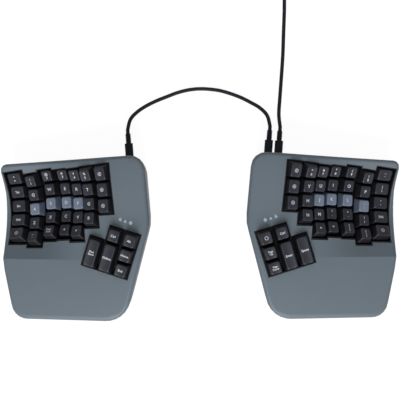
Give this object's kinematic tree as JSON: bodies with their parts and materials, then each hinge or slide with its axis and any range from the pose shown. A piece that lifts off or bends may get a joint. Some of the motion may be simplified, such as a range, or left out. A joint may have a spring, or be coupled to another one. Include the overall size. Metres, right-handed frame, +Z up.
{
  "type": "split contoured keyboard",
  "caption": "Split contoured keyboard: two mirrored slate halves with bowl-shaped key wells, thumb clusters and palm rests, joined by a bridge cable and with a host cable.",
  "frame": {"origin": "middle of the box round both halves, on the desk", "axes": "+X to the right, +Y to the back, +Z up"},
  "size_m": [0.5048, 0.5743, 0.0672],
  "materials": {
    "case_slate": "fine matte grain",
    "cap_black": "satin",
    "cap_blue": "satin",
    "black_trim": "matte",
    "circuit_green": "solder mask",
    "bright_steel": "plain",
    "lamp_white": "clear diffuse",
    "black_rubber": "matte"
  },
  "bodies": {
    "frame": {"left_top_case": "case_slate", "right_top_case": "case_slate", "left_bottom_case": "case_slate", "right_bottom_case": "case_slate", "left_key_well": "black_trim", "right_key_well": "black_trim", "left_thumb_well": "black_trim", "right_thumb_well": "black_trim", "switch_housings": "black_trim", "switch_circuits": "circuit_green", "main_boards": "circuit_green", "usb_sockets": "bright_steel", "light_pipes": "lamp_white", "rubber_feet": "black_rubber", "case_screws": "bright_steel", "left_button_spring": "bright_steel", "right_button_spring": "bright_steel", "bridge_cable": "black_rubber", "bridge_plugs": "black_rubber", "usb_cable": "black_rubber", "usb_coil": "black_rubber", "usb_c_plug": "black_rubber", "usb_a_plug": "black_rubber", "coil_tie": "black_trim"},
    "left_number_row_keys": {"left_number_row_keys": "cap_black"},
    "left_upper_row_keys": {"left_upper_row_keys": "cap_black"},
    "left_home_keys": {"left_home_keys": "cap_blue"},
    "left_home_end_keys": {"left_home_end_keys": "cap_black"},
    "left_lower_row_keys": {"left_lower_row_keys": "cap_black"},
    "left_bottom_row_keys": {"left_bottom_row_keys": "cap_black"},
    "left_inner_key_1": {"left_inner_key_1": "cap_black"},
    "left_inner_key_2": {"left_inner_key_2": "cap_black"},
    "left_inner_key_3": {"left_inner_key_3": "cap_black"},
    "left_thumb_key_1": {"left_thumb_key_1": "cap_black"},
    "left_thumb_key_2": {"left_thumb_key_2": "cap_black"},
    "left_thumb_key_3": {"left_thumb_key_3": "cap_black"},
    "left_thumb_key_4": {"left_thumb_key_4": "cap_black"},
    "left_thumb_key_5": {"left_thumb_key_5": "cap_black"},
    "left_thumb_key_6": {"left_thumb_key_6": "cap_black"},
    "left_leg": {"left_tent_leg": "black_trim", "left_leg_pads": "black_rubber"},
    "left_tent_button": {"left_tent_button": "black_trim"},
    "right_number_row_keys": {"right_number_row_keys": "cap_black"},
    "right_upper_row_keys": {"right_upper_row_keys": "cap_black"},
    "right_home_keys": {"right_home_keys": "cap_blue"},
    "right_home_end_keys": {"right_home_end_keys": "cap_black"},
    "right_lower_row_keys": {"right_lower_row_keys": "cap_black"},
    "right_bottom_row_keys": {"right_bottom_row_keys": "cap_black"},
    "right_inner_key_1": {"right_inner_key_1": "cap_black"},
    "right_inner_key_2": {"right_inner_key_2": "cap_black"},
    "right_inner_key_3": {"right_inner_key_3": "cap_black"},
    "right_thumb_key_1": {"right_thumb_key_1": "cap_black"},
    "right_thumb_key_2": {"right_thumb_key_2": "cap_black"},
    "right_thumb_key_3": {"right_thumb_key_3": "cap_black"},
    "right_thumb_key_4": {"right_thumb_key_4": "cap_black"},
    "right_thumb_key_5": {"right_thumb_key_5": "cap_black"},
    "right_thumb_key_6": {"right_thumb_key_6": "cap_black"},
    "right_leg": {"right_tent_leg": "black_trim", "right_leg_pads": "black_rubber"},
    "right_tent_button": {"right_tent_button": "black_trim"}
  },
  "joints": [
    {"name": "left_number_row_keys_press", "type": "slide", "parent": "frame", "child": "left_number_row_keys", "axis": [0.2624, 0.371, -0.8908], "range_m": [0, 0.004], "stiffness_N_per_m": 468, "springref_m": -0.0038},
    {"name": "left_upper_row_keys_press", "type": "slide", "parent": "frame", "child": "left_upper_row_keys", "axis": [0.2937, 0.1704, -0.9406], "range_m": [0, 0.004], "stiffness_N_per_m": 468, "springref_m": -0.0038},
    {"name": "left_home_keys_press", "type": "slide", "parent": "frame", "child": "left_home_keys", "axis": [0.3121, -0.0377, -0.9493], "range_m": [0, 0.004], "stiffness_N_per_m": 312, "springref_m": -0.0038},
    {"name": "left_home_end_keys_press", "type": "slide", "parent": "frame", "child": "left_home_end_keys", "axis": [0.3121, -0.0377, -0.9493], "range_m": [0, 0.004], "stiffness_N_per_m": 156, "springref_m": -0.0038},
    {"name": "left_lower_row_keys_press", "type": "slide", "parent": "frame", "child": "left_lower_row_keys", "axis": [0.317, -0.2442, -0.9165], "range_m": [0, 0.004], "stiffness_N_per_m": 468, "springref_m": -0.0038},
    {"name": "left_bottom_row_keys_press", "type": "slide", "parent": "frame", "child": "left_bottom_row_keys", "axis": [0.3079, -0.44, -0.8435], "range_m": [0, 0.004], "stiffness_N_per_m": 390, "springref_m": -0.0038},
    {"name": "left_inner_key_1_press", "type": "slide", "parent": "frame", "child": "left_inner_key_1", "axis": [0.2827, 0.2515, -0.9257], "range_m": [0, 0.004], "stiffness_N_per_m": 78, "springref_m": -0.0038},
    {"name": "left_inner_key_2_press", "type": "slide", "parent": "frame", "child": "left_inner_key_2", "axis": [0.3006, 0.108, -0.9476], "range_m": [0, 0.004], "stiffness_N_per_m": 78, "springref_m": -0.0038},
    {"name": "left_inner_key_3_press", "type": "slide", "parent": "frame", "child": "left_inner_key_3", "axis": [0.3121, -0.0377, -0.9493], "range_m": [0, 0.004], "stiffness_N_per_m": 78, "springref_m": -0.0038},
    {"name": "left_thumb_key_1_press", "type": "slide", "parent": "frame", "child": "left_thumb_key_1", "axis": [0.0923, 0.0624, -0.9938], "range_m": [0, 0.004], "stiffness_N_per_m": 78, "springref_m": -0.0038},
    {"name": "left_thumb_key_2_press", "type": "slide", "parent": "frame", "child": "left_thumb_key_2", "axis": [0.0923, 0.0624, -0.9938], "range_m": [0, 0.004], "stiffness_N_per_m": 78, "springref_m": -0.0038},
    {"name": "left_thumb_key_3_press", "type": "slide", "parent": "frame", "child": "left_thumb_key_3", "axis": [0.0923, 0.0624, -0.9938], "range_m": [0, 0.004], "stiffness_N_per_m": 78, "springref_m": -0.0038},
    {"name": "left_thumb_key_4_press", "type": "slide", "parent": "frame", "child": "left_thumb_key_4", "axis": [0.0923, 0.0624, -0.9938], "range_m": [0, 0.004], "stiffness_N_per_m": 78, "springref_m": -0.0038},
    {"name": "left_thumb_key_5_press", "type": "slide", "parent": "frame", "child": "left_thumb_key_5", "axis": [0.0923, 0.0624, -0.9938], "range_m": [0, 0.004], "stiffness_N_per_m": 78, "springref_m": -0.0038},
    {"name": "left_thumb_key_6_press", "type": "slide", "parent": "frame", "child": "left_thumb_key_6", "axis": [0.0923, 0.0624, -0.9938], "range_m": [0, 0.004], "stiffness_N_per_m": 78, "springref_m": -0.0038},
    {"name": "left_leg_slide", "type": "slide", "parent": "frame", "child": "left_leg", "axis": [0, 0, -1], "range_m": [0, 0.024]},
    {"name": "left_tent_button_press", "type": "slide", "parent": "frame", "child": "left_tent_button", "axis": [0, 0, 1], "range_m": [0, 0.003], "stiffness_N_per_m": 300, "springref_m": -0.004, "deforming": ["left_button_spring"]},
    {"name": "right_number_row_keys_press", "type": "slide", "parent": "frame", "child": "right_number_row_keys", "axis": [-0.2624, 0.371, -0.8908], "range_m": [0, 0.004], "stiffness_N_per_m": 468, "springref_m": -0.0038},
    {"name": "right_upper_row_keys_press", "type": "slide", "parent": "frame", "child": "right_upper_row_keys", "axis": [-0.2937, 0.1704, -0.9406], "range_m": [0, 0.004], "stiffness_N_per_m": 468, "springref_m": -0.0038},
    {"name": "right_home_keys_press", "type": "slide", "parent": "frame", "child": "right_home_keys", "axis": [-0.3121, -0.0377, -0.9493], "range_m": [0, 0.004], "stiffness_N_per_m": 312, "springref_m": -0.0038},
    {"name": "right_home_end_keys_press", "type": "slide", "parent": "frame", "child": "right_home_end_keys", "axis": [-0.3121, -0.0377, -0.9493], "range_m": [0, 0.004], "stiffness_N_per_m": 156, "springref_m": -0.0038},
    {"name": "right_lower_row_keys_press", "type": "slide", "parent": "frame", "child": "right_lower_row_keys", "axis": [-0.317, -0.2442, -0.9165], "range_m": [0, 0.004], "stiffness_N_per_m": 468, "springref_m": -0.0038},
    {"name": "right_bottom_row_keys_press", "type": "slide", "parent": "frame", "child": "right_bottom_row_keys", "axis": [-0.3079, -0.44, -0.8435], "range_m": [0, 0.004], "stiffness_N_per_m": 390, "springref_m": -0.0038},
    {"name": "right_inner_key_1_press", "type": "slide", "parent": "frame", "child": "right_inner_key_1", "axis": [-0.2827, 0.2515, -0.9257], "range_m": [0, 0.004], "stiffness_N_per_m": 78, "springref_m": -0.0038},
    {"name": "right_inner_key_2_press", "type": "slide", "parent": "frame", "child": "right_inner_key_2", "axis": [-0.3006, 0.108, -0.9476], "range_m": [0, 0.004], "stiffness_N_per_m": 78, "springref_m": -0.0038},
    {"name": "right_inner_key_3_press", "type": "slide", "parent": "frame", "child": "right_inner_key_3", "axis": [-0.3121, -0.0377, -0.9493], "range_m": [0, 0.004], "stiffness_N_per_m": 78, "springref_m": -0.0038},
    {"name": "right_thumb_key_1_press", "type": "slide", "parent": "frame", "child": "right_thumb_key_1", "axis": [-0.0923, 0.0624, -0.9938], "range_m": [0, 0.004], "stiffness_N_per_m": 78, "springref_m": -0.0038},
    {"name": "right_thumb_key_2_press", "type": "slide", "parent": "frame", "child": "right_thumb_key_2", "axis": [-0.0923, 0.0624, -0.9938], "range_m": [0, 0.004], "stiffness_N_per_m": 78, "springref_m": -0.0038},
    {"name": "right_thumb_key_3_press", "type": "slide", "parent": "frame", "child": "right_thumb_key_3", "axis": [-0.0923, 0.0624, -0.9938], "range_m": [0, 0.004], "stiffness_N_per_m": 78, "springref_m": -0.0038},
    {"name": "right_thumb_key_4_press", "type": "slide", "parent": "frame", "child": "right_thumb_key_4", "axis": [-0.0923, 0.0624, -0.9938], "range_m": [0, 0.004], "stiffness_N_per_m": 78, "springref_m": -0.0038},
    {"name": "right_thumb_key_5_press", "type": "slide", "parent": "frame", "child": "right_thumb_key_5", "axis": [-0.0923, 0.0624, -0.9938], "range_m": [0, 0.004], "stiffness_N_per_m": 78, "springref_m": -0.0038},
    {"name": "right_thumb_key_6_press", "type": "slide", "parent": "frame", "child": "right_thumb_key_6", "axis": [-0.0923, 0.0624, -0.9938], "range_m": [0, 0.004], "stiffness_N_per_m": 78, "springref_m": -0.0038},
    {"name": "right_leg_slide", "type": "slide", "parent": "frame", "child": "right_leg", "axis": [0, 0, -1], "range_m": [0, 0.024]},
    {"name": "right_tent_button_press", "type": "slide", "parent": "frame", "child": "right_tent_button", "axis": [0, 0, 1], "range_m": [0, 0.003], "stiffness_N_per_m": 300, "springref_m": -0.004, "deforming": ["right_button_spring"]}
  ]
}
